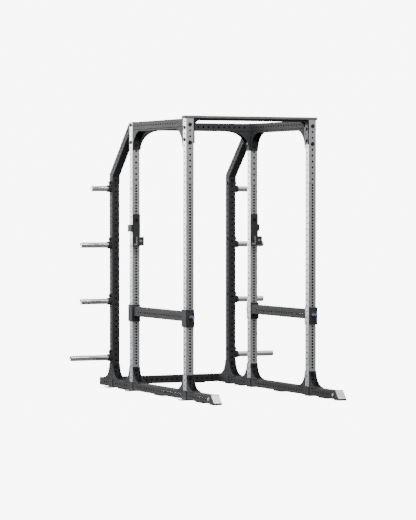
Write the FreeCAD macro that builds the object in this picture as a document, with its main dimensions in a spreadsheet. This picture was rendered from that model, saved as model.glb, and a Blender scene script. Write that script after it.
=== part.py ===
"""Power cage: six drilled uprights on two base rails, three arched top crossmembers and a front top bar,
rear braces, safety arms with pull pins, J-cups and eight plate horns.

Millimetres, +Z up. X runs across the cage, +Y to its rear. The origin is on the floor, at the middle of the
rails' length and midway between them. Every row of holes lies on one 50 mm grid."""

import FreeCAD, Part
import os

import Sketcher

doc = FreeCAD.newDocument("power_cage")
V = FreeCAD.Vector
X_AXIS, Y_AXIS, Z_AXIS = V(1, 0, 0), V(0, 1, 0), V(0, 0, 1)

# ---------------------------------------------------------------- driving dimensions
DIMENSIONS = {
    "tube_side": 70, "tube_wall": 3, "tube_corner": 6,
    "hole_radius": 8.5, "pitch": 50, "fine_pitch": 25,
    "half_width": 570, "front_y": -640, "middle_y": 500, "rear_y": 955,
    "rail_front": -1145, "rail_rear": 1220, "rail_base": 8, "rail_row": 43,
    "upright_top": 2344, "fine_low": 243, "fine_count": 63, "coarse_count": 10,
    "side_row_low": 118, "side_row_count": 45,
    "mitre_rear": 1897, "mitre_angle": 22.5, "rear_side_count": 35, "rear_front_count": 35,
    "brace_run": 447, "brace_row_first": 150, "brace_row_count": 10, "tongue_low": 1814,
    "plate": 8, "web": 5, "end_plate_drop": 240,
    "arch_run": 190, "arch_drop": 165, "side_lip": 12,
    "foot_reach": 130, "foot_rise": 134, "foot_band": 84,
    "anchor_tab": 45, "cap_reach": 78, "cap_half": 39, "cap_top": 84, "cap_bolt_in": 13,
    "bar_rise": 24, "bar_overhang": 7, "bar_depth": 76, "bar_rib": 16, "bar_plate_drop": 207,
    "bar_gusset": 45,
    "arm_row": 693, "arm_low": 609, "arm_high": 755, "beam_width": 58, "beam_side": 76, "beam_inset": 2,
    "running_gap": 0.5, "pin_radius": 8.45,
    "liner": 6, "pin_reach": 95,
    "barrel_radius": 14, "barrel_length": 40, "ring_radius": 15, "ring_length": 12,
    "cup_low": 1265, "cup_high": 1542, "cup_pin": 1493, "cup_gap": 0.3, "cup_reach": 100, "cup_width": 60,
    "horn_radius": 24.5, "horn_bolt_rise": 50, "collar_radius": 32, "collar_depth": 24,
    "bolt_radius": 8, "head_radius": 13, "head_depth": 9, "washer_radius": 16, "washer_depth": 2.5,
}
sheet = doc.addObject("Spreadsheet::Sheet", "Sheet")
for row, (alias, value) in enumerate(DIMENSIONS.items(), start=1):
    sheet.set("A%d" % row, alias)
    sheet.set("B%d" % row, str(value))
    sheet.setAlias("B%d" % row, alias)
doc.recompute()


def formula(text):
    """Turns 'half_width - plate' into an expression that reads the sheet."""
    words, word = [], ""
    for letter in str(text) + " ":
        if letter.isalnum() or letter in "_.":
            word += letter
            continue
        words.append("Sheet." + word if word in DIMENSIONS else word)
        words.append(letter)
        word = ""
    return "".join(words).strip()


def bind(thing, **properties):
    for name, text in properties.items():
        thing.setExpression(name, formula(text))


def place(thing, x=0, y=0, z=0, axis=Z_AXIS, angle=0):
    thing.Placement = FreeCAD.Placement(V(0, 0, 0), FreeCAD.Rotation(axis, angle))
    for name, text in (("x", x), ("y", y), ("z", z)):
        thing.setExpression("Placement.Base." + name, formula(text))
    return thing


def box(name, size, corner, axis=Z_AXIS, angle=0):
    """A box of that size whose lowest corner is at corner; both are triples of formulas."""
    solid = doc.addObject("Part::Box", name)
    bind(solid, Length=size[0], Width=size[1], Height=size[2])
    return place(solid, *corner, axis=axis, angle=angle)


def rod(name, radius, length, start, axis=Z_AXIS):
    """A cylinder that starts at start and runs along +axis."""
    solid = doc.addObject("Part::Cylinder", name)
    bind(solid, Radius=radius, Height=length)
    turn = FreeCAD.Rotation(Z_AXIS, axis)
    place(solid, *start)
    solid.Placement = FreeCAD.Placement(solid.Placement.Base, turn)
    return solid


def fuse(name, shapes):
    if len(shapes) == 1:
        return shapes[0]
    joined = doc.addObject("Part::MultiFuse", name)
    joined.Shapes = shapes
    joined.Refine = True
    return joined


def cut(name, base, tools):
    removed = doc.addObject("Part::Cut", name)
    removed.Base = base
    removed.Tool = tools[0] if len(tools) == 1 else fuse(name + "_tools", tools)
    removed.Refine = True
    return removed


def group(name, shapes):
    """Several separate solids in one node."""
    together = doc.addObject("Part::Compound", name)
    together.Links = shapes
    return together


def copy_of(source, name, x=0, y=0, z=0, angle=0):
    """The same piece again, moved, and turned about +Z through the origin of its own frame."""
    twin = doc.addObject("App::Link", name)
    twin.LinkedObject = source
    twin.LinkTransform = True
    return place(twin, x, y, z, angle=angle)


nodes = []


def node(thing, label):
    thing.Label = label
    nodes.append((label, thing))
    return thing


# ---------------------------------------------------------------- drilled square tube
def origin_part(body, role):
    return next(o for o in body.Origin.OriginFeatures if o.Role == role)


def square_sketch(body, name, side_x, side_y):
    """A rectangle centred on the body's origin, in its XY plane."""
    sketch = body.newObject("Sketcher::SketchObject", name)
    sketch.AttachmentSupport = (origin_part(body, "XY_Plane"), [""])
    sketch.MapMode = "FlatFace"
    corners = [V(-30, -30, 0), V(30, -30, 0), V(30, 30, 0), V(-30, 30, 0)]
    for i in range(4):
        sketch.addGeometry(Part.LineSegment(corners[i], corners[(i + 1) % 4]), False)
    for i in range(4):
        sketch.addConstraint(Sketcher.Constraint("Coincident", i, 2, (i + 1) % 4, 1))
        sketch.addConstraint(Sketcher.Constraint("Horizontal" if i % 2 == 0 else "Vertical", i))
    sketch.addConstraint(Sketcher.Constraint("Symmetric", 0, 1, 2, 1, -1, 1))
    wide = sketch.addConstraint(Sketcher.Constraint("DistanceX", 0, 1, 0, 2, 60))
    deep = sketch.addConstraint(Sketcher.Constraint("DistanceY", 1, 1, 1, 2, 60))
    sketch.setExpression("Constraints[%d]" % wide, formula(side_x))
    sketch.setExpression("Constraints[%d]" % deep, formula(side_y))
    return sketch


def hole_sketch(body, name, role, height):
    """One circle on the tube's centre line, in the plane that faces along Y (XZ_Plane) or X (YZ_Plane)."""
    sketch = body.newObject("Sketcher::SketchObject", name)
    sketch.AttachmentSupport = (origin_part(body, role), [""])
    sketch.MapMode = "FlatFace"
    sketch.addGeometry(Part.Circle(V(0, 100, 0), Z_AXIS, 8), False)
    sketch.addConstraint(Sketcher.Constraint("PointOnObject", 0, 3, -2))
    radius = sketch.addConstraint(Sketcher.Constraint("Radius", 0, 8))
    level = sketch.addConstraint(Sketcher.Constraint("DistanceY", -1, 1, 0, 3, 100))
    sketch.setExpression("Constraints[%d]" % radius, formula("hole_radius"))
    sketch.setExpression("Constraints[%d]" % level, formula(height))
    return sketch


def tube(name, length, rows, side_x="tube_side", side_y="tube_side", wall="tube_wall"):
    """A tube along +Z from its frame's origin. Each row is (plane, first height, count, spacing)."""
    body = doc.addObject("PartDesign::Body", name)
    pad = body.newObject("PartDesign::Pad", name + "_pad")
    pad.Profile = square_sketch(body, name + "_outside", side_x, side_y)
    bind(pad, Length=length)
    doc.recompute()
    corners = [
        "Edge%d" % (i + 1) for i, edge in enumerate(pad.Shape.Edges)
        if abs(edge.Vertexes[0].Z - edge.Vertexes[-1].Z) > 1
    ]
    fillet = body.newObject("PartDesign::Fillet", name + "_corners")
    fillet.Base = (pad, corners)
    bind(fillet, Radius="tube_corner")
    bore = body.newObject("PartDesign::Pocket", name + "_bore")
    bore.Profile = square_sketch(
        body, name + "_inside", "%s - 2 * %s" % (side_x, wall), "%s - 2 * %s" % (side_y, wall))
    bore.Type = "ThroughAll"
    bore.Reversed = True
    body.Tip = bore
    doc.recompute()
    for k, (role, first, count, spacing) in enumerate(rows):
        before = body.Tip.Shape.Volume
        hole = body.newObject("PartDesign::Pocket", "%s_hole%d" % (name, k))
        hole.Profile = hole_sketch(body, "%s_circle%d" % (name, k), role, first)
        hole.Type = "ThroughAll"
        hole.Midplane = True
        body.Tip = hole
        doc.recompute()
        if count == 1:
            continue
        pattern = body.newObject("PartDesign::LinearPattern", "%s_row%d" % (name, k))
        pattern.Originals = [hole]
        pattern.Direction = (origin_part(body, "Z_Axis"), [""])
        bind(pattern, Length="(%s - 1) * %s" % (count, spacing), Occurrences=count)
        body.Tip = pattern
        doc.recompute()
        if body.Tip.Shape.Volume > before - 1:
            raise ValueError("row %d of %s cut nothing" % (k, name))
    return body


TO_Y = (X_AXIS, -90)          # turns a tube's +Z to +Y
TO_X = (Y_AXIS, 90)           # turns a tube's +Z to +X
SIDES = (("left", -1), ("right", 1))
BASE = "(rail_base + tube_side)"


def oval(name, half_a, half_b, length, centre, normal):
    """An elliptical bar that cuts the concave edge of a gusset: half_a is level, half_b upright."""
    edge = doc.addObject("Part::Ellipse", name + "_edge")
    long_level = value_of(half_a) >= value_of(half_b)
    bind(edge, MajorRadius=half_a if long_level else half_b, MinorRadius=half_b if long_level else half_a)
    level = V(0, 1, 0) if normal == X_AXIS else V(1, 0, 0)
    major = level if long_level else Z_AXIS
    minor = normal.cross(major)
    place(edge, *centre)
    edge.Placement = FreeCAD.Placement(edge.Placement.Base, FreeCAD.Rotation(major, minor, normal, "XYZ"))
    bar = doc.addObject("Part::Extrusion", name)
    bar.Base = edge
    bar.DirMode = "Custom"
    bar.Dir = normal
    bar.Solid = True
    bind(bar, LengthFwd=length)
    return bar


def value_of(text):
    """The value that a sum or difference of cells has now."""
    total, sign = 0.0, 1
    for word in str(text).replace("-", " - ").replace("+", " + ").split():
        if word in "+-":
            sign = 1 if word == "+" else -1
        else:
            total += sign * (DIMENSIONS[word] if word in DIMENSIONS else float(word))
    return total


def gusset_pair(name, run, drop, x_out, z_top, direction, y="0"):
    """Two plates, one on each side of a tube, under a crossmember that runs along X.
    Their free edge is a quarter ellipse from the end plate up to the tube."""
    low_x = x_out if direction > 0 else "%s - %s" % (x_out, run)
    low_z = "%s - %s" % (z_top, drop)
    block = box(name + "_block", (run, "tube_side", drop), (low_x, "%s - tube_side / 2" % y, low_z))
    slot = box(name + "_slot", (run, "tube_side - 2 * web", drop),
               (low_x, "%s + web - tube_side / 2" % y, low_z))
    centre_x = "%s + %s" % (x_out, run) if direction > 0 else "%s - %s" % (x_out, run)
    arch = oval(name + "_arch", "%s - 3" % run, "%s - 3" % drop, "tube_side + 10",
                (centre_x, "%s + tube_side / 2 + 5" % y, low_z), V(0, -1, 0))
    return cut(name, block, [slot, arch])


# ---------------------------------------------------------------- uprights
SPAN = "(2 * half_width - tube_side)"
upright = tube("upright", "upright_top - " + BASE, [
    ("XZ_Plane", "fine_low - " + BASE, "fine_count", "fine_pitch"),
    ("XZ_Plane", "fine_low + (fine_count - 1) * fine_pitch + pitch - " + BASE, "coarse_count", "pitch"),
    ("XZ_Plane", "fine_low - 2 * pitch - " + BASE, 2, "pitch"),
    ("YZ_Plane", "side_row_low - " + BASE, "side_row_count", "pitch"),
])
for side, s in SIDES:
    for station in ("front", "middle"):
        node(copy_of(upright, side[0] + station, "%d * half_width" % s, station + "_y", BASE),
             "%s_%s_upright" % (side, station))

rear_tube = tube("rear_tube", "mitre_rear + 3 - " + BASE, [
    ("XZ_Plane", "fine_low - 2 * pitch - " + BASE, "rear_front_count", "pitch"),
    ("YZ_Plane", "side_row_low - " + BASE, "rear_side_count", "pitch"),
])
mitre_top = box("mitre_top", (100, 200, 60),
                (-50, "tube_side / 2 - 150 * cos(mitre_angle)",
                 "mitre_rear - %s - 150 * sin(mitre_angle)" % BASE), X_AXIS, DIMENSIONS["mitre_angle"])
rear_upright = cut("rear_upright", rear_tube, [mitre_top])
for side, s in SIDES:
    node(copy_of(rear_upright, side[0] + "rear", "%d * half_width" % s, "rear_y", BASE),
         "%s_rear_upright" % side)

# ---------------------------------------------------------------- rear braces
slanted = tube("slanted", "brace_run * 1.6 + 60", [
    ("YZ_Plane", "brace_row_first", "brace_row_count", "pitch"),
])
# its centre line passes through the middle of the mitre, 60 mm along the tube
place(slanted, 0, "rear_y + 60 * sin(45)",
       "mitre_rear - tube_side / 2 * tan(mitre_angle) - 60 * cos(45)", X_AXIS, 45)
mitre_low = box("mitre_low", (100, 200, 120),
                (-50, "rear_y + tube_side / 2 - 150 * cos(mitre_angle) + 120 * sin(mitre_angle)",
                 "mitre_rear - 150 * sin(mitre_angle) - 120 * cos(mitre_angle)"),
                X_AXIS, DIMENSIONS["mitre_angle"])
past_upright = box("past_upright", (100, 300, 700),
                   (-50, "middle_y + tube_side / 2 + plate - 300", "upright_top - 500"))
slanted_cut = cut("slanted_cut", slanted, [mitre_low, past_upright])
brace_plate = box("brace_plate", ("tube_side", "plate", "end_plate_drop"),
                  ("-tube_side / 2", "middle_y + tube_side / 2", "upright_top - end_plate_drop"))
front_tongue = box("front_tongue", ("tube_side", "web", "mitre_rear - 17 - tongue_low"),
                   ("-tube_side / 2", "rear_y - tube_side / 2 - web", "tongue_low"))
inner_tongue = box("inner_tongue", ("tube_side - 2 * tube_wall - 8", "web", "mitre_rear + 2 - tongue_low"),
                   ("4 + tube_wall - tube_side / 2", "rear_y + tube_side / 2 - tube_wall - web",
                    "tongue_low"))
brace_whole = fuse("brace_whole", [slanted_cut, brace_plate, front_tongue, inner_tongue])
brace_holes = [
    rod("brace_bolt_hole%d" % i, "hole_radius", 200, (0, y, z), Y_AXIS)
    for i, (y, z) in enumerate((
        ("middle_y", "upright_top - 51"), ("middle_y", "upright_top - 201"),
        ("rear_y - 100", "fine_low + 32 * pitch")))
]
brace = cut("brace", brace_whole, brace_holes)
for side, s in SIDES:
    node(copy_of(brace, side[0] + "brace", "%d * half_width" % s), "%s_rear_brace" % side)


# ---------------------------------------------------------------- top crossmembers
def crossmember(name, lip):
    """A tube along X, centred on its frame, with an end plate and a pair of arched gussets at each end."""
    beam = tube(name + "_tube", SPAN + " - 2 * plate", [
        ("XZ_Plane", "(%s - 2 * plate - 19 * pitch) / 2" % SPAN, 20, "pitch")])
    place(beam, "plate - %s / 2" % SPAN, 0, 0, *TO_X)
    parts = [beam]
    for s in (-1, 1):
        inner = "%d * (%s / 2 - plate)" % (s, SPAN)
        parts.append(box("%s_plate%d" % (name, s + 1), ("plate", "tube_side", "end_plate_drop"),
                         (inner if s > 0 else inner + " - plate", "-tube_side / 2",
                          "tube_side / 2 - end_plate_drop")))
        parts.append(gusset_pair("%s_gusset%d" % (name, s + 1), "arch_run", "arch_drop",
                                 inner, "-tube_side / 2", -s))
    if lip:
        for s in (-1, 1):
            parts.append(box("%s_lip%d" % (name, s + 1), (SPAN + " - 2 * plate", "web", "side_lip"),
                             ("plate - %s / 2" % SPAN,
                              "tube_side / 2 - web" if s > 0 else "-tube_side / 2",
                              "-tube_side / 2 - side_lip")))
    whole = fuse(name + "_whole", parts)
    drops = (51, 201) if lip else (26, 176)
    holes = [rod("%s_bolt%d" % (name, i), "hole_radius", SPAN + " + 20",
                 ("-%s / 2 - 10" % SPAN, 0, "tube_side / 2 - %d" % drop), X_AXIS)
             for i, drop in enumerate(drops)]
    return cut(name, whole, holes)


side_member = crossmember("side_member", True)
rear_member = crossmember("rear_member", False)
for side, s in SIDES:
    node(copy_of(side_member, side[0] + "top", "%d * half_width" % s, "(front_y + middle_y) / 2",
                 "upright_top - tube_side / 2", 90), "%s_top_crossmember" % side)
node(copy_of(rear_member, "reartop", 0, "middle_y", "upright_top - tube_side / 2"), "rear_top_crossmember")

# ---------------------------------------------------------------- front top bar
BAR = "(2 * half_width + tube_side + 2 * bar_overhang)"
bar = tube("bar", BAR, [], "bar_rise", "bar_depth")
place(bar, "-%s / 2" % BAR, "front_y", "upright_top + bar_rise / 2", *TO_X)
bar_parts = [bar, box("bar_rib_box", (SPAN + " - 2 * plate", "bar_depth - 26", "bar_rib"),
                      ("plate - %s / 2" % SPAN, "front_y - bar_depth / 2 + 13", "upright_top - bar_rib"))]
for s in (-1, 1):
    inner = "%d * (%s / 2 - plate)" % (s, SPAN)
    bar_parts.append(box("bar_plate_box%d" % (s + 1), ("plate", "tube_side", "bar_plate_drop"),
                         (inner if s > 0 else inner + " - plate", "front_y - tube_side / 2",
                          "upright_top - bar_plate_drop")))
    bar_parts.append(gusset_pair("bar_gusset%d" % (s + 1), "bar_gusset", "bar_gusset",
                                 inner, "upright_top - bar_rib", -s, "front_y"))
bar_whole = fuse("bar_whole", bar_parts)
front_bar = cut("front_bar", bar_whole, [
    rod("bar_bolt%d" % i, "hole_radius", SPAN + " + 20", ("-%s / 2 - 10" % SPAN, "front_y", level), X_AXIS)
    for i, level in enumerate(("upright_top - 76", "upright_top - 176"))])
node(front_bar, "front_top_bar")
bar_caps = [box("bar_cap%d" % (s + 1), (4, "bar_depth", "bar_rise"),
                ("%d * %s / 2" % (s, BAR) + (" - 4" if s < 0 else ""),
                 "front_y - bar_depth / 2", "upright_top"))
            for s in (-1, 1)]
node(group("bar_caps", bar_caps), "front_bar_end_caps")


def mirrored(source, name):
    """The same piece on the other side of the cage."""
    twin = doc.addObject("Part::Mirroring", name)
    twin.Source = source
    twin.Base = V(0, 0, 0)
    twin.Normal = X_AXIS
    return twin


# ---------------------------------------------------------------- base rails
rail = tube("rail", "rail_rear - rail_front", [
    ("YZ_Plane", "cap_bolt_in", 1, "pitch"),
    ("YZ_Plane", "-1100 - rail_front", 8, "pitch"),
    ("YZ_Plane", "-545 - rail_front", 19, "pitch"),
    ("YZ_Plane", "603 - rail_front", 6, "pitch"),
    ("YZ_Plane", "1061 - rail_front", 2, "pitch"),
])
place(rail, 0, "rail_front", "rail_base + tube_side / 2", *TO_Y)
for side, s in SIDES:
    laid = copy_of(rail, side[0] + "rail")
    laid.LinkTransform = True
    node(place(laid, "%d * half_width" % s), "%s_base_rail" % side)

cross_tube = tube("cross_tube", SPAN + " - 2 * plate", [
    ("XZ_Plane", "(%s - 2 * plate - 19 * pitch) / 2" % SPAN, 20, "pitch")])
place(cross_tube, "plate - %s / 2" % SPAN, "rail_rear - tube_side / 2", "rail_base + tube_side / 2", *TO_X)
cross_plates = [
    box("cross_plate%d" % (s + 1), ("plate", "tube_side", "tube_side"),
        ("%d * %s / 2" % (s, SPAN) + (" - plate" if s > 0 else ""), "rail_rear - tube_side", "rail_base"))
    for s in (-1, 1)]
node(fuse("cross_bottom", [cross_tube] + cross_plates), "rear_bottom_crossmember")

# ---------------------------------------------------------------- foot brackets
FOOT_TOP = "(rail_base + tube_side)"
foot_parts = []
for s in (-1, 1):
    near = "%d * tube_side / 2" % s
    foot_parts.append(box("foot_face%d" % (s + 1), ("tube_side", "web", "foot_rise"),
                          ("-tube_side / 2", near + (" - web" if s < 0 else ""), FOOT_TOP)))
    low_y = near + (" - foot_reach" if s < 0 else "")
    foot_parts.append(box("foot_flange%d" % (s + 1), ("tube_side", "foot_reach", "web"),
                          ("-tube_side / 2", low_y, FOOT_TOP)))
    block = box("foot_block%d" % (s + 1), ("tube_side", "foot_reach", "foot_rise"),
                ("-tube_side / 2", low_y, FOOT_TOP))
    slot = box("foot_slot%d" % (s + 1), ("tube_side - 2 * web", "foot_reach", "foot_rise"),
               ("web - tube_side / 2", low_y, FOOT_TOP))
    arch = oval("foot_arch%d" % (s + 1), "foot_reach - web - 3", "foot_rise - web - 3", "tube_side + 10",
                ("-tube_side / 2 - 5", near + " %s foot_reach" % ("+" if s > 0 else "-"),
                 FOOT_TOP + " + foot_rise"), X_AXIS)
    foot_parts.append(cut("foot_web%d" % (s + 1), block, [slot, arch]))
    foot_parts.append(box("foot_band%d" % (s + 1), ("web", "foot_band", "tube_side + web"),
                          (near + (" - web" if s < 0 else ""), "-foot_band / 2", "rail_base")))
foot_whole = fuse("foot_whole", foot_parts)
foot = cut("foot", foot_whole, [
    rod("foot_bore%d" % i, "hole_radius", "2 * foot_reach", (0, "-foot_reach", level), Y_AXIS)
    for i, level in enumerate(("fine_low - pitch", "fine_low - 2 * pitch"))])
for side, s in SIDES:
    for station in ("front", "middle", "rear"):
        node(copy_of(foot, side[0] + station + "foot", "%d * half_width" % s, station + "_y"),
             "%s_%s_foot_bracket" % (side, station))

# ---------------------------------------------------------------- front foot caps
CAP_ANGLE = 48.7
cap_block = box("cap_block", ("2 * cap_half", "cap_reach", "cap_top"),
                ("-half_width - cap_half", "rail_front - cap_reach", 0))
cap_slope = box("cap_slope", (120, 160, 80),
                ("-half_width - 60", "rail_front - cap_reach - 30 * cos(%s)" % CAP_ANGLE,
                 "10 - 30 * sin(%s)" % CAP_ANGLE), X_AXIS, CAP_ANGLE)
cheeks = [box("cap_cheek%d" % (s + 1), ("cap_half - tube_side / 2", 26, "tube_side"),
              ("-half_width " + ("+ tube_side / 2" if s > 0 else "- cap_half"), "rail_front", "rail_base"))
          for s in (-1, 1)]
cap_bolt_bore = rod("cap_bolt_bore", "hole_radius", "2 * cap_half + 4",
                    ("-half_width - cap_half - 2", "rail_front + cap_bolt_in", "rail_row"), X_AXIS)
cap_wedge = cut("cap_wedge", cap_block, [cap_slope])
left_cap = cut("left_cap", fuse("cap_whole", [cap_wedge] + cheeks), [cap_bolt_bore])
node(left_cap, "left_front_foot_cap")
node(mirrored(left_cap, "right_cap"), "right_front_foot_cap")
cap_plate = box("cap_plate", ("tube_side", 84, 2.5),
                ("-half_width - tube_side / 2", "rail_front - cap_reach + 6 * cos(%s)" % CAP_ANGLE,
                 "10 + 6 * sin(%s)" % CAP_ANGLE), X_AXIS, CAP_ANGLE)
node(group("cap_plates", [cap_plate, mirrored(cap_plate, "cap_plate_right")]), "front_foot_plates")

# ---------------------------------------------------------------- what the rails stand on
anchor_flat = box("anchor_flat", ("tube_side + anchor_tab", 90, "rail_base"),
                  ("-tube_side / 2 - anchor_tab", -45, 0))
anchor = cut("anchor", anchor_flat, [rod("anchor_bore", 7, 20, ("-tube_side / 2 - anchor_tab / 2", 0, -5))])
left_anchors = [copy_of(anchor, station + "_anchor", "-half_width", station + "_y")
                for station in ("front", "middle", "rear")]
left_anchor_group = group("left_anchors", left_anchors)
node(group("anchors", [left_anchor_group, mirrored(left_anchor_group, "right_anchors")]), "anchor_plates")
left_pads = [box("rail_pad%d" % i, (60, 160, "rail_base"), ("-half_width - 30", y, 0))
             for i, y in enumerate(("-1000", "-150", "650"))]
left_pads.append(box("rear_pad", (120, 50, "rail_base"), ("-410", "rail_rear - tube_side + 10", 0)))
left_pad_group = group("left_pads", left_pads)
node(group("pads", [left_pad_group, mirrored(left_pad_group, "right_pads")]), "rubber_pads")

left_ends = [
    box("upright_cap", ("tube_side", "tube_side", 3),
        ("-half_width - tube_side / 2", "middle_y - tube_side / 2", "upright_top")),
    box("rail_cap", ("tube_side", 3, "tube_side"), ("-half_width - tube_side / 2", "rail_rear", "rail_base")),
]
left_end_group = group("left_ends", left_ends)
node(group("ends", [left_end_group, mirrored(left_end_group, "right_ends")]), "tube_end_caps")

# ---------------------------------------------------------------- safety arms and their pins
NEAR_REAR = "(front_y + tube_side / 2 + running_gap + plate)"       # where the beam starts
FAR_FRONT = "(middle_y - tube_side / 2 - running_gap - plate)"      # where it ends
beam = tube("beam", FAR_FRONT + " - " + NEAR_REAR, [("YZ_Plane", 50, 19, "pitch")], "beam_width", "beam_side")
place(beam, "beam_inset - half_width", NEAR_REAR, "arm_row", *TO_Y)
arm_parts = [beam]
for station in ("front", "middle"):
    out = "(tube_side / 2 + running_gap)"
    arm_parts.append(box(station + "_hook_side",
                         ("plate", "tube_side + 2 * running_gap + 2 * plate", "arm_high - arm_low"),
                         ("-half_width - %s - plate" % out, "%s_y - %s - plate" % (station, out), "arm_low")))
    for s in (-1, 1):
        arm_parts.append(box("%s_hook_plate%d" % (station, s + 1),
                             ("tube_side + running_gap + plate", "plate", "arm_high - arm_low"),
                             ("-half_width - %s - plate" % out,
                              "%s_y %s %s %s" % (station, "+" if s > 0 else "-", out,
                                                 "- plate" if s < 0 else ""),
                              "arm_low")))
arm_whole = fuse("arm_whole", arm_parts)
arm_bores = [rod(station + "_arm_bore", "hole_radius", 110, (
    "-half_width", "%s_y - 55" % station, "arm_row"), Y_AXIS) for station in ("front", "middle")]
left_arm = cut("left_arm", arm_whole, arm_bores)
node(left_arm, "left_safety_arm")
node(mirrored(left_arm, "right_arm"), "right_safety_arm")
left_liner = box("left_liner", ("beam_width", FAR_FRONT + " - %s - 10" % NEAR_REAR, "liner"),
                 ("beam_inset - half_width - beam_width / 2", NEAR_REAR + " + 5", "arm_row + beam_side / 2"))
node(left_liner, "left_arm_liner")
node(mirrored(left_liner, "right_liner"), "right_arm_liner")

# The pin along +Z: its shaft points up and its knob hangs below the bracket's face, at z = 0.
pin_neck = rod("pin_neck", 10, "ring_length", (0, 0, "-0.3 - barrel_length - ring_length"))
pin_body = fuse("pin_body", [
    rod("pin_shaft", "pin_radius", "pin_reach + 0.3", (0, 0, -0.3)),
    rod("pin_barrel", "barrel_radius", "barrel_length", (0, 0, "-0.3 - barrel_length")),
    pin_neck,
    rod("pin_button", 11, 6, (0, 0, "-0.3 - barrel_length - ring_length - 6")),
])
pin_ring = cut("pin_ring", rod("ring_outside", "ring_radius", "ring_length", (
    0, 0, "-0.3 - barrel_length - ring_length")), [rod("ring_inside", 10, 40, (0, 0, -80))])


def aimed(source, name, start, direction):
    """A copy whose own +Z points along direction."""
    twin = copy_of(source, name, *start)
    twin.Placement = FreeCAD.Placement(twin.Placement.Base, FreeCAD.Rotation(Z_AXIS, direction))
    return twin


FACE_OUT = "(tube_side / 2 + running_gap + plate)"
for side, s in SIDES:
    for station, d in (("front", 1), ("middle", -1)):
        start = ("%d * half_width" % s, "%s_y - %d * %s" % (station, d, FACE_OUT), "arm_row")
        label = "%s_%s_pin" % (side, station)
        node(aimed(pin_body, side[0] + station + "pin", start, V(0, d, 0)), label)
        node(aimed(pin_ring, side[0] + station + "ring", start, V(0, d, 0)), label + "_ring")

# ---------------------------------------------------------------- J-cups
# The left one; its back stands cup_gap in front of the middle upright.
CUP_FACE = "(middle_y - tube_side / 2 - cup_gap)"
CUP_FRONT = "(%s - cup_reach)" % CUP_FACE
cup_parts = [
    box("cup_back", ("tube_side", "plate", "cup_high - cup_low"),
        ("-half_width - tube_side / 2", CUP_FACE + " - plate", "cup_low")),
    box("cup_shelf", ("cup_width + 2", "cup_reach", "plate"),
        ("-half_width - cup_width / 2 - 1", CUP_FRONT, "cup_low + 5")),
    box("cup_lip", ("cup_width + 2", "plate", 77),
        ("-half_width - cup_width / 2 - 1", CUP_FRONT, "cup_low + 5")),
    box("cup_wing", (15, "plate + cup_gap + 71", 61),
        ("-half_width - tube_side / 2 - cup_gap - 15", CUP_FACE + " - plate", "cup_low + 126")),
    box("cup_bridge", (16, "plate", 61),
        ("-half_width - tube_side / 2 - cup_gap - 15", CUP_FACE + " - plate", "cup_low + 126")),
]
left_hook = cut("left_hook", fuse("cup_whole", cup_parts), [
    rod("cup_bore", "hole_radius", 60, ("-half_width", CUP_FACE + " - 30", "cup_pin"), Y_AXIS)])
liner_parts = [
    box("liner_back", ("cup_width", "liner", 175),
        ("-half_width - cup_width / 2", CUP_FACE + " - plate - liner", "cup_low + 5 + plate")),
    box("liner_shelf", ("cup_width", "cup_reach - 2 * plate", 10),
        ("-half_width - cup_width / 2", CUP_FRONT + " + plate", "cup_low + 5 + plate")),
    box("liner_lip", ("cup_width", 19, 69),
        ("-half_width - cup_width / 2", CUP_FRONT + " + plate", "cup_low + 5 + plate")),
]
left_cup_liner = fuse("left_cup_liner", liner_parts)
left_cup_metal = group("left_cup_metal", [
    fuse("cup_pin_whole", [
        rod("cup_pin_shaft", "pin_radius", 70, ("-half_width", CUP_FACE + " - plate", "cup_pin"), Y_AXIS),
        rod("cup_pin_head", 12, 8, ("-half_width", CUP_FACE + " - plate - 8", "cup_pin"), Y_AXIS)]),
    rod("cup_lip_bolt", 12, 6, ("-half_width", CUP_FRONT + " - 6", "cup_low + 47"), Y_AXIS),
])
for label, piece in (("jcup", left_hook), ("jcup_liner", left_cup_liner), ("jcup_pin", left_cup_metal)):
    node(piece, "left_" + label)
    node(mirrored(piece, "right" + label), "right_" + label)

# ---------------------------------------------------------------- plate horns
HORNS = (("top", 33, 790), ("upper", 23, 890), ("lower", 13, 890), ("bottom", 3, 990))
HORN_FACE = "(half_width + tube_side / 2 + plate)"
left_mounts = []
for level, step, tip in HORNS:
    height = "side_row_low + %d * pitch" % step
    outside = rod(level + "_horn_outside", "horn_radius", "%d - %s" % (tip, HORN_FACE), (
        "-%d" % tip, "rear_y", height), X_AXIS)
    inside = rod(level + "_horn_inside", "horn_radius - 3.5", "%d - %s" % (tip, HORN_FACE), (
        "5 - %d" % tip, "rear_y", height), X_AXIS)
    horn = cut(level + "_horn", outside, [inside])
    node(horn, "left_%s_horn" % level)
    node(mirrored(horn, "right_%s" % level), "right_%s_horn" % level)
    backing = box(level + "_horn_plate", ("plate", 50, 100),
                  ("-%s" % HORN_FACE, "rear_y - 25", height + " - 32"))
    bolt_bore = rod(level + "_horn_bolt_bore", "hole_radius", 30, (
        "-%s - 10" % HORN_FACE, "rear_y", height + " + horn_bolt_rise"), X_AXIS)
    collar = rod(level + "_collar", "collar_radius", "collar_depth", (
        "-%s - collar_depth" % HORN_FACE, "rear_y", height), X_AXIS)
    collar_bore = rod(level + "_collar_bore", "horn_radius", "collar_depth + 2", (
        "-%s - collar_depth - 1" % HORN_FACE, "rear_y", height), X_AXIS)
    left_mounts.append(fuse(level + "_mount", [
        cut(level + "_drilled", backing, [bolt_bore]),
        cut(level + "_ring", collar, [collar_bore])]))
left_mount_group = group("left_mounts", left_mounts)
node(left_mount_group, "left_horn_mounts")
node(mirrored(left_mount_group, "right_mounts"), "right_horn_mounts")


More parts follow.
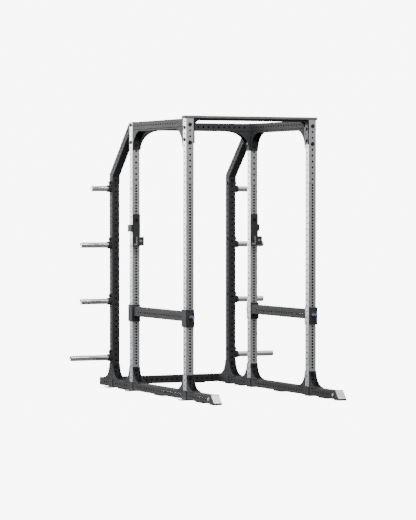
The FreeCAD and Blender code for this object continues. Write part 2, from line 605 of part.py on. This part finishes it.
# ---------------------------------------------------------------- fasteners
def bolt(name, grip):
    """A hex bolt along +Z: washer and head below z = 0, nut above the grip."""
    head = doc.addObject("Part::Prism", name + "_head")
    nut = doc.addObject("Part::Prism", name + "_nut")
    for hexagon in (head, nut):
        hexagon.Polygon = 6
        bind(hexagon, Circumradius="head_radius", Height="head_depth")
    place(head, 0, 0, "-washer_depth - head_depth")
    place(nut, 0, 0, grip)
    return fuse(name, [
        head, nut,
        rod(name + "_washer", "washer_radius", "washer_depth", (0, 0, "-washer_depth")),
        rod(name + "_shank", "bolt_radius", "%s + washer_depth" % grip, (0, 0, "-washer_depth"))])


plate_bolt = bolt("plate_bolt", "tube_side + plate")
double_bolt = bolt("double_bolt", "tube_side + 2 * plate")
foot_bolt = bolt("foot_bolt", "tube_side + 2 * web")
cap_bolt = bolt("cap_bolt", "2 * cap_half")
FRONT_FACE, REAR_FACE = "(front_y - tube_side / 2)", "(middle_y + tube_side / 2 + plate)"
left_frame_bolts = [
    aimed(plate_bolt, "front_bolt%d" % i, ("-half_width", FRONT_FACE, "upright_top - %d" % drop), Y_AXIS)
    for i, drop in enumerate((51, 201))]
left_frame_bolts += [
    aimed(double_bolt, "brace_bolt%d" % i, ("-half_width", REAR_FACE, "upright_top - %d" % drop), V(0, -1, 0))
    for i, drop in enumerate((51, 201))]
left_frame_bolts += [
    aimed(plate_bolt, "side_bolt%d" % i,
          ("-half_width - tube_side / 2", where, "upright_top - %d" % drop), X_AXIS)
    for i, (where, drop) in enumerate((
        ("front_y", 76), ("front_y", 176), ("middle_y", 26), ("middle_y", 176)))]
left_frame_bolts.append(aimed(plate_bolt, "stub_bolt", (
    "-half_width", "rear_y - tube_side / 2 - web", "fine_low + 32 * pitch"), Y_AXIS))
left_frame_bolts.append(aimed(cap_bolt, "cap_bolt_left", (
    "-half_width - cap_half", "rail_front + cap_bolt_in", "rail_row"), X_AXIS))
left_foot_bolts = [
    aimed(foot_bolt, "foot_bolt_" + station, (
        "-half_width", "%s_y - tube_side / 2 - web" % station, "fine_low - pitch"), Y_AXIS)
    for station in ("front", "middle", "rear")]
left_horn_bolts = [
    aimed(plate_bolt, "horn_bolt_" + level, (
        "-%s" % HORN_FACE, "rear_y", "side_row_low + %d * pitch + horn_bolt_rise" % step), X_AXIS)
    for level, step, tip in HORNS]
for label, bolts in (("frame", left_frame_bolts), ("foot", left_foot_bolts), ("horn", left_horn_bolts)):
    left_set = group("left_%s_set" % label, bolts)
    node(group(label + "_set", [left_set, mirrored(left_set, "right_%s_set" % label)]), label + "_bolts")

# ---------------------------------------------------------------- checks and files
doc.recompute()
for thing in doc.Objects:
    if "Invalid" in thing.State or "Error" in thing.State:
        raise ValueError("%s failed: %s" % (thing.Name, thing.State))
os.makedirs("parts", exist_ok=True)
for label, thing in nodes:
    shape = Part.getShape(thing)
    if shape.isNull() or not shape.isValid() or not shape.Solids:
        raise ValueError("%s is not a valid solid" % label)
    shape.exportStep("parts/%s.step" % label)
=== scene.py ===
"""Looks for the power cage: drilled silver and black steel tubes with safety arms and chrome horns."""

import math

import bpy
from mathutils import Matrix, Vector


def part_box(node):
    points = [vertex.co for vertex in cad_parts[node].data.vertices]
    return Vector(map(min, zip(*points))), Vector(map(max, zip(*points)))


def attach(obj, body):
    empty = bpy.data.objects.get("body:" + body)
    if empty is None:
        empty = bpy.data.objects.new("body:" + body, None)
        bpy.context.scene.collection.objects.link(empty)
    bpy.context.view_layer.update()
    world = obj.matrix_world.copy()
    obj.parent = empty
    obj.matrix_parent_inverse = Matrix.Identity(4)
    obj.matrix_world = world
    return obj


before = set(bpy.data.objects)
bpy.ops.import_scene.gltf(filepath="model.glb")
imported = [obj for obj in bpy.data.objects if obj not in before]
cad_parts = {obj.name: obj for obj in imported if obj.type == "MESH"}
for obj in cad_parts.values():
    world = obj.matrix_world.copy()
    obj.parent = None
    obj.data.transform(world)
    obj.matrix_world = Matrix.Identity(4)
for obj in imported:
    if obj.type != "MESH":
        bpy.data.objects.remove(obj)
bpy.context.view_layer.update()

# ------------------------------------------------------------ studio
# A pale floor without a horizon, soft lights on the cage's left flank and behind it, a high front light
# that dies away towards the floor, and a long lens at standing height.
PAPER = (1.0, 1.0, 1.0, 1.0)
PAPER_LEVEL = 8.2          # bright enough to come out as near-white paper
FLOOR_SHARE = 0.25         # taken off the glow, because the lamps light the floor as well
FLOOR_GREY = 0.12          # dark to reflections, so that the horns have a dark underside
bpy.ops.object.select_all(action="DESELECT")
bpy.ops.mesh.primitive_plane_add(size=60, location=(0, 0, 0))
floor = bpy.context.object
floor.name = "studio_floor"
floor_paint = bpy.data.materials.new("studio_paper")
floor_paint.use_nodes = True
floor_tree = floor_paint.node_tree
floor_tree.nodes.clear()
matt = floor_tree.nodes.new("ShaderNodeBsdfDiffuse")
matt.inputs["Color"].default_value = (FLOOR_GREY, FLOOR_GREY, FLOOR_GREY, 1)
glow = floor_tree.nodes.new("ShaderNodeEmission")
glow.inputs["Color"].default_value = PAPER
floor_rays = floor_tree.nodes.new("ShaderNodeLightPath")
brightness = floor_tree.nodes.new("ShaderNodeMath")
brightness.operation = "MULTIPLY"
brightness.inputs[1].default_value = PAPER_LEVEL - FLOOR_SHARE
both = floor_tree.nodes.new("ShaderNodeAddShader")
floor_end = floor_tree.nodes.new("ShaderNodeOutputMaterial")
floor_tree.links.new(floor_rays.outputs["Is Camera Ray"], brightness.inputs[0])
floor_tree.links.new(brightness.outputs[0], glow.inputs["Strength"])
floor_tree.links.new(matt.outputs[0], both.inputs[0])
floor_tree.links.new(glow.outputs[0], both.inputs[1])
floor_tree.links.new(both.outputs[0], floor_end.inputs["Surface"])
floor.data.materials.append(floor_paint)

world = bpy.data.worlds.new("studio_air")
bpy.context.scene.world = world
world.use_nodes = True
air = world.node_tree
seen = air.nodes.new("ShaderNodeBackground")
seen.inputs["Color"].default_value = PAPER
seen.inputs["Strength"].default_value = PAPER_LEVEL
lit = air.nodes["Background"]
lit.inputs["Color"].default_value = (0.95, 0.97, 1.0, 1)
heading = air.nodes.new("ShaderNodeTexCoord")
split = air.nodes.new("ShaderNodeSeparateXYZ")
overhead = air.nodes.new("ShaderNodeMapRange")
for socket, value in (("From Min", 0.02), ("From Max", 0.60), ("To Min", 0.10), ("To Max", 1.15)):
    overhead.inputs[socket].default_value = value
air.links.new(heading.outputs["Generated"], split.inputs[0])
air.links.new(split.outputs["Z"], overhead.inputs["Value"])
air.links.new(overhead.outputs[0], lit.inputs["Strength"])
rays = air.nodes.new("ShaderNodeLightPath")
choice = air.nodes.new("ShaderNodeMixShader")
air.links.new(rays.outputs["Is Camera Ray"], choice.inputs[0])
air.links.new(lit.outputs[0], choice.inputs[1])
air.links.new(seen.outputs[0], choice.inputs[2])
air.links.new(choice.outputs[0], air.nodes["World Output"].inputs["Surface"])

LAMP_AIM = Vector((0, 0, 1.9))         # high, so that the uprights are darker at their feet
for name, place, size, power in (
    ("flank_light", (-6.5, 1.0, 2.8), (4.0, 3.0), 380),
    ("rear_flank_light", (-5.5, 9.5, 3.0), (7.0, 4.5), 700),
    ("high_front_light", (-0.6, -3.2, 4.6), (4.0, 1.2), 260),
    ("far_flank_light", (6.0, -1.0, 3.0), (3.0, 3.0), 40),
):
    bpy.ops.object.light_add(type="AREA", location=place)
    lamp = bpy.context.object
    lamp.name = name
    lamp.data.shape = "RECTANGLE"
    lamp.data.size, lamp.data.size_y = size
    lamp.data.energy = power
    lamp.rotation_euler = (LAMP_AIM - Vector(place)).to_track_quat("-Z", "Y").to_euler()

bpy.ops.object.camera_add(location=(-9.2031, -19.7555, 1.6583))
camera = bpy.context.object
camera.rotation_euler = (math.radians(90 - 1.34), 0, math.radians(-24.75))
camera.data.sensor_fit = "HORIZONTAL"
camera.data.sensor_width = 36
camera.data.lens = 218.4
bpy.context.scene.camera = camera


# ------------------------------------------------------------ silver uprights
# The four square tubes that carry the load. They are sprayed with a fine metallic powder over steel drawn
# lengthways, so faint draw lines run up them and the film has a light orange peel. The inside of each tube
# is painted near-black as painted shade, so that the holes read dark, and a line is etched across each face
# where the close holes end.
class Wire:
    """A shader socket on which arithmetic adds Math nodes."""

    def __init__(self, paint, socket):
        self.paint, self.socket = paint, socket

    def maths(self, operation, *values):
        return self.paint.node("ShaderNodeMath", {"operation": operation}, dict(enumerate((self, *values))))

    def __add__(self, other):
        return self.maths("ADD", other)

    def __mul__(self, other):
        return self.maths("MULTIPLY", other)

    def __sub__(self, other):
        return self.maths("SUBTRACT", other)

    def __rsub__(self, other):
        return self * -1 + other

    def step(self, low, high):
        """0 below low, 1 above high, smooth between."""
        settings = {"interpolation_type": "SMOOTHSTEP"}
        return self.paint.node("ShaderNodeMapRange", settings, {0: self, 1: low, 2: high})

    __radd__, __rmul__ = __add__, __mul__


class Finish:
    """One material on Object coordinates. Its node method adds any node and returns its first output."""

    def __init__(self, name, **values):
        self.material = bpy.data.materials.new(name)
        self.material.use_nodes = True
        self.tree = self.material.node_tree
        self.shader = self.tree.nodes["Principled BSDF"]
        self.where = self.node("ShaderNodeTexCoord", {}, {}, "Object")
        for socket, value in values.items():
            self.set(socket.replace("_", " "), value)

    def node(self, kind, settings, inputs, output=0):
        made = self.tree.nodes.new(kind)
        for key, value in settings.items():
            setattr(made, key, value)
        for key, value in inputs.items():
            if isinstance(value, Wire):
                self.tree.links.new(value.socket, made.inputs[key])
            else:
                made.inputs[key].default_value = value
        return Wire(self, made.outputs[output])

    def set(self, socket, value):
        if isinstance(value, Wire):
            self.tree.links.new(value.socket, self.shader.inputs[socket])
        else:
            self.shader.inputs[socket].default_value = value

    def noise(self, scale, detail=3.0, stretch=(1, 1, 1)):
        """Noise from 0 to 1 whose grains are 1 / scale metres, longer where stretch is smaller."""
        there = self.node("ShaderNodeMapping", {}, {"Vector": self.where, "Scale": stretch})
        return self.node("ShaderNodeTexNoise", {}, {"Vector": there, "Scale": scale, "Detail": detail})

    def axis(self, letter):
        return self.node("ShaderNodeSeparateXYZ", {}, {0: self.where}, "XYZ".index(letter))

    def mix(self, mask, first, second):
        return self.node("ShaderNodeMix", {"data_type": "RGBA"}, {0: mask, 6: first, 7: second}, 2)

    def bump(self, height, depth, strength=1.0):
        """depth is the relief in metres."""
        relief = {"Height": height, "Distance": depth, "Strength": strength}
        self.set("Normal", self.node("ShaderNodeBump", {}, relief))


def coat(finish, *names):
    for name in names:
        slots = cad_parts[name].data.materials
        slots.clear()
        slots.append(finish.material)


SIDES = ("left", "right")
silver = Finish("silver_powder", Coat_Weight=0.10)
peel = silver.noise(700)
drawn = silver.noise(260, 2.0, (1, 1, 0.012))
cloud = silver.noise(2.2)
front_axis = sum(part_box("right_front_upright"), Vector()) / 2
middle_axis = sum(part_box("right_middle_upright"), Vector()) / 2
off_x = (silver.axis("X").maths("ABSOLUTE") - front_axis.x).maths("ABSOLUTE")
off_front = (silver.axis("Y") - front_axis.y).maths("ABSOLUTE")
off_middle = (silver.axis("Y") - middle_axis.y).maths("ABSOLUTE")
off_axis = off_x.maths("MAXIMUM", off_front.maths("MINIMUM", off_middle))
SKIN = (0.0335, 0.0345)    # from the tube's axis: painted shade nearer than this, powder beyond it
# Painted shade: surfaces inside the tube, and the walls of the holes, are coloured near-black.
painted_inner_shade = 1 - off_axis.step(*SKIN)
ETCHED_LEVEL = 1.807       # just above the last of the close holes
LINE_HALF = (0.0010, 0.0016)
etched = (1 - (silver.axis("Z") - ETCHED_LEVEL).maths("ABSOLUTE").step(*LINE_HALF)) * 0.75
shade = silver.mix(drawn * 0.5 + cloud * 0.5, (0.50, 0.505, 0.515, 1), (0.66, 0.665, 0.675, 1))
shade = silver.mix(etched, shade, (0.05, 0.05, 0.05, 1))
# The near-black inside the tube is painted shade, not a colour of the steel.
silver.set("Base Color", silver.mix(painted_inner_shade, shade, (0.012, 0.012, 0.013, 1)))
silver.set("Metallic", 0.85 - 0.55 * painted_inner_shade)
silver.set("Roughness", 0.28 + 0.10 * drawn + 0.08 * peel + 0.35 * painted_inner_shade)
silver.bump(peel * 0.6 + drawn * 0.4, 0.00005, 0.6)
coat(silver, *["%s_%s_upright" % (side, station) for side in SIDES for station in ("front", "middle")])

# ------------------------------------------------------------ black steel
# Rails, rear uprights, braces, crossmembers and brackets: the same tube and plate in a fine-textured satin
# black powder, uneven in tone and rubbed a little smoother in patches.
black = Finish("black_powder", Specular_IOR_Level=0.12)
grit = black.noise(1400, 2.0)
film = black.noise(4.0)
rub = black.noise(30, 4.0).step(0.62, 0.78)
black.set("Base Color", black.mix(film * 0.8, (0.022, 0.023, 0.025, 1), (0.046, 0.047, 0.050, 1)))
black.set("Roughness", 0.48 + 0.14 * grit - 0.08 * rub)
black.bump(grit, 0.00008, 0.7)
coat(black, *["%s_%s" % (side, part) for side in SIDES for part in (
    "rear_upright", "rear_brace", "top_crossmember", "base_rail", "front_foot_bracket", "middle_foot_bracket",
    "rear_foot_bracket", "safety_arm", "horn_mounts", "jcup")],
    "rear_top_crossmember", "rear_bottom_crossmember")

# ------------------------------------------------------------ front top bar
# The flat bar over the front uprights, in black powder smoother than the rest, painted a lighter grey
# as a painted sheen on its front. The rib and the end plates under it are painted near-black as painted
# shade.
bar_sheen_and_shade = Finish("bar_painted_sheen_and_shade", Metallic=0.3)
skin = bar_sheen_and_shade.noise(500)
tone = bar_sheen_and_shade.mix(bar_sheen_and_shade.noise(6), (0.085, 0.087, 0.090, 1), (0.14, 0.142, 0.146, 1))
bar_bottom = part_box("left_front_upright")[1].z
# Above the bar's underside the colour is a lighter grey, as painted sheen. Below it the colour is near-black,
# as painted shade.
sheen_not_shade = bar_sheen_and_shade.axis("Z").step(bar_bottom - 0.0005, bar_bottom + 0.0005)
bar_sheen_and_shade.set("Base Color", bar_sheen_and_shade.mix(sheen_not_shade, (0.010, 0.010, 0.011, 1), tone))
bar_sheen_and_shade.set("Roughness", 0.34 + 0.12 * skin)
bar_sheen_and_shade.bump(skin, 0.00005, 0.5)
coat(bar_sheen_and_shade, "front_top_bar")

# ------------------------------------------------------------ chrome horns
# Eight plate horns of polished, chromed tube, with the faint ring marks that plates leave along them.
chrome = Finish("horn_chrome", Metallic=1.0)
smear = chrome.noise(18, 4.0)
rings = chrome.noise(900, 2.0, (1, 0.004, 0.004))
chrome.set("Base Color", chrome.mix(smear, (0.88, 0.89, 0.90, 1), (0.97, 0.97, 0.98, 1)))
chrome.set("Roughness", 0.10 + 0.05 * smear + 0.04 * rings)
chrome.bump(rings, 0.000008, 0.3)
LEVELS = ("top", "upper", "lower", "bottom")
coat(chrome, *["%s_%s_horn" % (side, level) for side in SIDES for level in LEVELS])

# ------------------------------------------------------------ bolts
# Hex bolts, washers and nuts, blackened; only the pair through the foot caps, at the cage's front, is
# bright.
dark_steel = Finish("blackened_bolt", Metallic=0.75)
oil = dark_steel.noise(120, 4.0)
rail_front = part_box("left_base_rail")[0].y
bright_end = 1 - dark_steel.axis("Y").step(rail_front + 0.025, rail_front + 0.045)
blackened = dark_steel.mix(oil, (0.010, 0.010, 0.011, 1), (0.045, 0.045, 0.048, 1))
dark_steel.set("Base Color", dark_steel.mix(bright_end, blackened, (0.62, 0.62, 0.63, 1)))
dark_steel.set("Roughness", 0.28 + 0.22 * oil)
dark_steel.bump(dark_steel.noise(900), 0.00005, 0.5)
coat(dark_steel, "frame_bolts", "foot_bolts", "horn_bolts")

# ------------------------------------------------------------ bright fittings
# Zinc-plated anchor plates and turned steel pull pins: grey-white metal with a fine turned grain.
zinc = Finish("zinc_plate", Metallic=1.0)
spangle = zinc.node("ShaderNodeTexVoronoi", {}, {"Vector": zinc.where, "Scale": 160.0})
turned = zinc.noise(1500, 2.0, (0.05, 1, 0.05))
zinc.set("Base Color", zinc.mix(spangle, (0.60, 0.61, 0.62, 1), (0.78, 0.79, 0.80, 1)))
zinc.set("Roughness", 0.22 + 0.16 * turned + 0.08 * spangle)
zinc.bump(turned, 0.00004, 0.5)
coat(zinc, "anchor_plates",
     *["%s_%s_pin" % (side, station) for side in SIDES for station in ("front", "middle")])

# ------------------------------------------------------------ J-cup pins
# The blackened pin that each J-cup hangs on, and the bright bolt in its front lip.
cup_steel = Finish("cup_steel", Metallic=0.9)
cup_low, cup_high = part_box("left_jcup")
cup_middle = (cup_low.z + cup_high.z) / 2
black_pin = cup_steel.axis("Z").step(cup_middle - 0.01, cup_middle + 0.01)
worn = cup_steel.noise(150, 4.0)
cup_steel.set("Base Color", cup_steel.mix(
    black_pin, cup_steel.mix(worn, (0.62, 0.62, 0.63, 1), (0.80, 0.80, 0.80, 1)), (0.02, 0.02, 0.021, 1)))
cup_steel.set("Roughness", 0.20 + 0.15 * worn + 0.12 * black_pin)
cup_steel.bump(worn, 0.00004, 0.5)
coat(cup_steel, "left_jcup_pin", "right_jcup_pin")

# ------------------------------------------------------------ foot plates
# Stainless cover plates on the two sloping front feet, brushed across, with light handling marks.
brushed = Finish("brushed_stainless", Metallic=1.0)
hair = brushed.noise(1800, 2.0, (0.02, 1, 1))
marks = brushed.noise(40, 5.0)
brushed.set("Base Color", brushed.mix(hair, (0.70, 0.70, 0.71, 1), (0.90, 0.90, 0.90, 1)))
brushed.set("Roughness", 0.24 + 0.18 * hair + 0.06 * marks)
brushed.bump(hair, 0.00003, 0.6)
coat(brushed, "front_foot_plates")

# ------------------------------------------------------------ pin rings
# The blue anodised ring that a hand pulls on each pin, with fine lathe lines around it.
anodised = Finish("blue_anodised", Metallic=0.7)
lathe = anodised.noise(1600, 1.0, (0.01, 1, 0.01))
anodised.set("Base Color", anodised.mix(lathe, (0.015, 0.09, 0.34, 1), (0.03, 0.16, 0.48, 1)))
anodised.set("Roughness", 0.26 + 0.14 * lathe)
anodised.bump(lathe, 0.00005, 0.6)
coat(anodised, *["%s_%s_pin_ring" % (side, station) for side in SIDES for station in ("front", "middle")])

# ------------------------------------------------------------ plastic and rubber
# Moulded liners that the bar rests on and the tube end caps, in hard plastic with a leathery moulded grain,
# and the rubber pads and front feet, duller and dustier.
liner = Finish("moulded_liner")
pebble = liner.node("ShaderNodeTexVoronoi", {}, {"Vector": liner.where, "Scale": 750.0})
liner.set("Base Color", liner.mix(liner.noise(14), (0.010, 0.011, 0.012, 1), (0.022, 0.023, 0.025, 1)))
liner.set("Roughness", 0.46 + 0.16 * pebble)
liner.bump(pebble, 0.00012, 0.6)
coat(liner, "front_bar_end_caps", "tube_end_caps",
     *["%s_%s" % (side, part) for side in SIDES for part in ("arm_liner", "jcup_liner")])
rubber = Finish("foot_rubber")
dust = rubber.noise(26, 5.0)
rubber.set("Base Color", rubber.mix(dust, (0.012, 0.012, 0.012, 1), (0.040, 0.039, 0.038, 1)))
rubber.set("Roughness", 0.70 + 0.20 * dust)
rubber.bump(rubber.noise(1100), 0.00010, 0.7)
coat(rubber, "rubber_pads", "left_front_foot_cap", "right_front_foot_cap")

# ------------------------------------------------------------ weld beads
# Where a foot bracket's flanges meet the rail they are welded along both edges: a row of overlapping,
# flattened drops of steel under the same black powder. One bead is modelled and copied to every
# joint.
def pick(*pieces):
    """Selects these pieces and no others, with the first active."""
    bpy.ops.object.select_all(action="DESELECT")
    for piece in pieces:
        piece.select_set(True)
    bpy.context.view_layer.objects.active = pieces[0]


def settle(piece, name):
    """Puts the piece's place into its mesh, and leaves its object at the origin."""
    pick(piece)
    bpy.ops.object.transform_apply(location=True, rotation=True, scale=True)
    piece.name = name
    return piece


def another(piece, name, place, turn=(0, 0, 0)):
    """A copy with its own mesh, turned, then moved to place."""
    twin = piece.copy()
    twin.data = piece.data.copy()
    bpy.context.collection.objects.link(twin)
    twin.rotation_euler = turn
    twin.location = place
    return settle(twin, name)


def finish_with(piece, kind, **settings):
    """Adds a modifier and applies it."""
    pick(piece)
    modifier = piece.modifiers.new(kind.lower(), kind)
    for key, value in settings.items():
        setattr(modifier, key, value)
    bpy.ops.object.modifier_apply(modifier=modifier.name)


def hand_over(piece, finish):
    """Gives a piece its finish and its place on the frame."""
    piece.data.materials.clear()
    piece.data.materials.append(finish.material)
    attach(piece, "frame")


DROP = 0.0034             # half the width of one drop of weld
DROP_STEP = 0.0045
SUNK = 0.001              # how far a bead's middle lies inside the joint
BAND_HALF = 0.042         # the band round the rail, which the beads stop at
rail_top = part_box("left_base_rail")[1].z
bpy.ops.object.select_all(action="DESELECT")
bpy.ops.mesh.primitive_uv_sphere_add(segments=10, ring_count=6, radius=DROP)
drop = bpy.context.object
drop.scale = (1, 1.4, 0.8)
bead = settle(drop, "weld_pattern")
bracket_low, bracket_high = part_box("left_front_foot_bracket")
bead_length = (bracket_high.y - bracket_low.y) / 2 - BAND_HALF
finish_with(bead, "ARRAY", use_relative_offset=False, use_constant_offset=True,
            constant_offset_displace=(0, DROP_STEP, 0), count=int(bead_length / DROP_STEP))
for side in SIDES:
    for station in ("front", "middle", "rear"):
        low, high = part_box("%s_%s_foot_bracket" % (side, station))
        station_y = (low.y + high.y) / 2
        for edge, x in (("low_x", low.x + SUNK), ("high_x", high.x - SUNK)):
            for end, y in (("ahead", low.y + DROP), ("behind", station_y + BAND_HALF + DROP)):
                name = "%s_%s_weld_%s_%s" % (side, station, edge, end)
                hand_over(another(bead, name, (x, y, rail_top - SUNK)), black)
bpy.data.objects.remove(bead)

# ------------------------------------------------------------ horn tips
# Each horn is closed by a turned, chromed tip with a rolled rim and a shallow dish in its face.
DISH_EDGE, DISH_WALL = 0.45, 0.08     # of the radius: the flat round the dish, and the dish's sloping wall


def turned_cap(radius, depth, rim, dish):
    """A disc on z = 0 with a rolled outer rim and a dish in its top."""
    bpy.ops.object.select_all(action="DESELECT")
    bpy.ops.mesh.primitive_cylinder_add(vertices=48, radius=radius, depth=depth, location=(0, 0, depth / 2))
    cap = settle(bpy.context.object, "cap_pattern")
    bpy.context.tool_settings.mesh_select_mode = (False, False, True)
    bpy.ops.object.mode_set(mode="EDIT")
    bpy.ops.mesh.select_all(action="DESELECT")
    bpy.ops.object.mode_set(mode="OBJECT")
    for face in cap.data.polygons:
        face.select = face.normal.z > 0.9
    bpy.ops.object.mode_set(mode="EDIT")
    bpy.ops.mesh.inset(thickness=radius * DISH_EDGE)
    bpy.ops.mesh.inset(thickness=radius * DISH_WALL)
    bpy.ops.transform.translate(value=(0, 0, -dish))
    bpy.ops.object.mode_set(mode="OBJECT")
    finish_with(cap, "BEVEL", width=rim, segments=4, limit_method="ANGLE", angle_limit=math.radians(40))
    bpy.ops.object.shade_smooth_by_angle(angle=math.radians(35))
    return cap


horn_low, horn_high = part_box("left_top_horn")
horn_radius = (horn_high.z - horn_low.z) / 2
tip = turned_cap(horn_radius, depth=0.004, rim=0.0022, dish=0.0012)
for side, outwards in (("left", -1), ("right", 1)):
    for level in LEVELS:
        low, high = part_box("%s_%s_horn" % (side, level))
        centre = (low + high) / 2
        end = Vector((low.x if outwards < 0 else high.x, centre.y, centre.z))
        hand_over(another(tip, "%s_%s_horn_tip" % (side, level), end, (0, outwards * math.pi / 2, 0)),
                  chrome)
bpy.data.objects.remove(tip)

# ------------------------------------------------------------ foot plate rivets and ribs
# A bright rivet holds each corner of a foot plate. It has the horn tip's turned shape, much smaller. Four
# rounded ribs lie across the plate for grip.
PLATE_THICKNESS = 0.0025
plates_low, plates_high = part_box("front_foot_plates")
SLOPE = math.radians(48.7)
RIVETS = ((0.10, -0.026), (0.10, 0.026), (0.90, -0.026), (0.90, 0.026))   # along the slope, across it
RIBS = (0.30, 0.43, 0.57, 0.70)
plate_foot = Vector((0, plates_low.y, plates_low.z + PLATE_THICKNESS * math.cos(SLOPE)))
plate_head = Vector((0, plates_high.y - PLATE_THICKNESS * math.sin(SLOPE), plates_high.z))
rivet = turned_cap(0.0045, depth=0.0018, rim=0.0008, dish=0.0004)
bpy.ops.object.select_all(action="DESELECT")
bpy.ops.mesh.primitive_cube_add(size=1)
rib = bpy.context.object
rib.scale = (0.046, 0.0045, 0.0024)
settle(rib, "rib_pattern")
finish_with(rib, "BEVEL", width=0.0010, segments=3)
for side, outwards in (("left", -1), ("right", 1)):
    across = outwards * front_axis.x
    for k, (along, offset) in enumerate(RIVETS):
        spot = plate_foot.lerp(plate_head, along) + Vector((across + offset, 0, 0))
        hand_over(another(rivet, "%s_foot_rivet_%d" % (side, k + 1), spot, (SLOPE, 0, 0)), brushed)
    for k, along in enumerate(RIBS):
        spot = plate_foot.lerp(plate_head, along) + Vector((across, 0, 0))
        hand_over(another(rib, "%s_foot_rib_%d" % (side, k + 1), spot, (SLOPE, 0, 0)), brushed)
bpy.data.objects.remove(rivet)
bpy.data.objects.remove(rib)

# ------------------------------------------------------------ hole numbers
# Every fourth hole of the close row, on a silver upright's front face, has a plain number beside it,
# printed in black, so that both sides are set at the same height.
print_ink = Finish("number_ink")
fade = print_ink.noise(240, 4.0)
print_ink.set("Base Color", print_ink.mix(fade, (0.012, 0.012, 0.013, 1), (0.06, 0.06, 0.062, 1)))
print_ink.set("Roughness", 0.55 + 0.2 * fade)
FIRST_HOLE = 0.243        # the lowest of the close row, which has no number
NUMBERED_STEP = 0.100     # four holes of the close row
NUMBERS = range(1, 16)
BESIDE = 0.0195           # from the hole's middle to the number's
for side in SIDES:
    for station in ("front", "middle"):
        low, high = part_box("%s_%s_upright" % (side, station))
        beside = (low.x + high.x) / 2 + BESIDE
        figures = []
        for number in NUMBERS:
            bpy.ops.object.text_add(location=(beside, low.y, FIRST_HOLE + number * NUMBERED_STEP),
                                    rotation=(math.pi / 2, 0, 0))
            figure = bpy.context.object
            figure.data.body = str(number)
            for key, value in (("size", 0.011), ("align_x", "CENTER"), ("align_y", "CENTER"),
                               ("extrude", 0.00012), ("resolution_u", 2)):
                setattr(figure.data, key, value)
            bpy.ops.object.convert(target="MESH")
            figures.append(bpy.context.object)
        pick(*figures)
        bpy.ops.object.join()
        numbers = settle(bpy.context.object, "%s_%s_hole_numbers" % (side, station))
        hand_over(numbers, print_ink)
